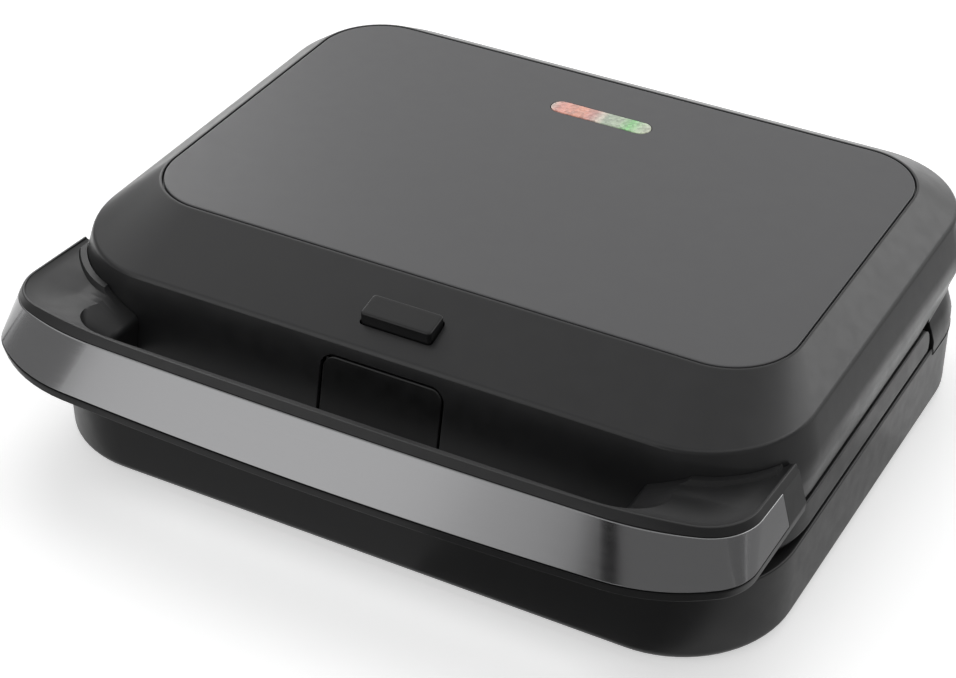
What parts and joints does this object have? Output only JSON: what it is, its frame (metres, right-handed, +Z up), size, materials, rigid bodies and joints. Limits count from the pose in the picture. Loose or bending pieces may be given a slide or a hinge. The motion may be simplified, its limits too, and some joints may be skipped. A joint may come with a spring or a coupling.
{
  "type": "sandwich maker",
  "caption": "Countertop three-in-one sandwich maker: tub base and deep hinged lid with a metal-banded loop handle, latch lever, plate release buttons and lift-out cooking plates.",
  "frame": {"origin": "on the surface that it stands on, below the middle of its outline", "axes": "+X to the right along the hinge axis, +Y to the rear, +Z up through the lid"},
  "size_m": [0.3116, 0.2739, 0.0924],
  "materials": {
    "shell_black": "fine satin moulded black",
    "hood_charcoal": "charcoal metallic paint, satin",
    "panel_grey": "satin mid grey",
    "band_metal": "gunmetal satin",
    "plate_coating": "dark non-stick coating on a cast plate",
    "steel": "plain pressed steel",
    "dark_steel": "heat-darkened sheath",
    "rubber": "matt black rubber",
    "ceramic": "unglazed cream ceramic",
    "board_green": "green circuit board",
    "lens_clear": "clear acrylic",
    "light_red": "red light cap",
    "light_green": "green light cap"
  },
  "bodies": {
    "base": {"base_housing": "shell_black", "base_bottom_cover": "shell_black", "base_screw_front_right": "steel", "base_screw_front_left": "steel", "base_screw_rear_right": "steel", "base_screw_rear_left": "steel", "foot_front_left": "rubber", "foot_front_right": "rubber", "foot_rear_left": "rubber", "foot_rear_right": "rubber", "lower_reflector": "steel", "lower_heating_element": "dark_steel", "lower_element_clip_right": "steel", "lower_element_clip_left": "steel", "lower_cooking_plate": "plate_coating", "lower_catch_pin": "steel", "lower_catch_spring": "steel", "latch_strike": "steel", "lower_thermostat": "ceramic", "terminal_block": "ceramic", "cord_inlet_bushing": "rubber", "hinge_pin_left": "steel", "hinge_pin_right": "steel", "base_lead_left": "ceramic", "base_lead_right": "ceramic"},
    "lid": {"lid_hood": "hood_charcoal", "lid_frame": "shell_black", "top_panel": "panel_grey", "handle_band": "band_metal", "handle_cover": "shell_black", "handle_screw_inner_right": "steel", "handle_screw_inner_left": "steel", "handle_screw_outer_right": "steel", "handle_screw_outer_left": "steel", "frame_screw_side_right": "steel", "frame_screw_side_left": "steel", "frame_screw_rear_right": "steel", "frame_screw_rear_left": "steel", "upper_cooking_plate": "plate_coating", "upper_heating_element": "dark_steel", "upper_element_clip_right": "steel", "upper_element_clip_left": "steel", "upper_reflector": "steel", "indicator_lens": "lens_clear", "indicator_board": "board_green", "heating_light": "light_red", "ready_light": "light_green", "upper_thermostat": "ceramic", "thermal_fuse": "ceramic", "latch_pin": "steel", "latch_spring": "steel", "upper_catch_pin": "steel", "upper_catch_spring": "steel", "lid_lead_fuse": "ceramic", "lid_lead_thermostat": "ceramic"},
    "latch": {"latch_lever": "hood_charcoal"},
    "upper_button": {"upper_release_button": "shell_black"},
    "upper_catch": {"upper_plate_catch": "steel"},
    "lower_button": {"lower_release_button": "shell_black"},
    "lower_catch": {"lower_plate_catch": "steel"}
  },
  "joints": [
    {"name": "lid_hinge", "type": "hinge", "parent": "base", "child": "lid", "pos_m": [0, 0.125, 0.05], "axis": [-1, 0, 0], "range_deg": [0, 100]},
    {"name": "latch_pivot", "type": "hinge", "parent": "lid", "child": "latch", "pos_m": [0, -0.0825, 0.0705], "axis": [1, 0, 0], "range_deg": [0, 6], "stiffness_Nm_per_rad": 0.4, "springref_deg": -5.73},
    {"name": "upper_button_slide", "type": "slide", "parent": "lid", "child": "upper_button", "axis": [0, 0, -1], "range_m": [0, 0.003], "stiffness_N_per_m": 300, "springref_m": -0.002},
    {"name": "upper_catch_pivot", "type": "hinge", "parent": "lid", "child": "upper_catch", "pos_m": [0, -0.086, 0.055], "axis": [-1, 0, 0], "range_deg": [0, 11]},
    {"name": "lower_button_slide", "type": "slide", "parent": "base", "child": "lower_button", "axis": [1, 0, 0], "range_m": [0, 0.003], "stiffness_N_per_m": 300, "springref_m": -0.002},
    {"name": "lower_catch_pivot", "type": "hinge", "parent": "base", "child": "lower_catch", "pos_m": [-0.1405, 0, 0.024], "axis": [0, -1, 0], "range_deg": [0, 21.5]}
  ],
  "couplings": [
    {"joint": "upper_catch_pivot", "follows": "upper_button_slide", "rad_per_m": 62},
    {"joint": "lower_catch_pivot", "follows": "lower_button_slide", "rad_per_m": 123}
  ]
}
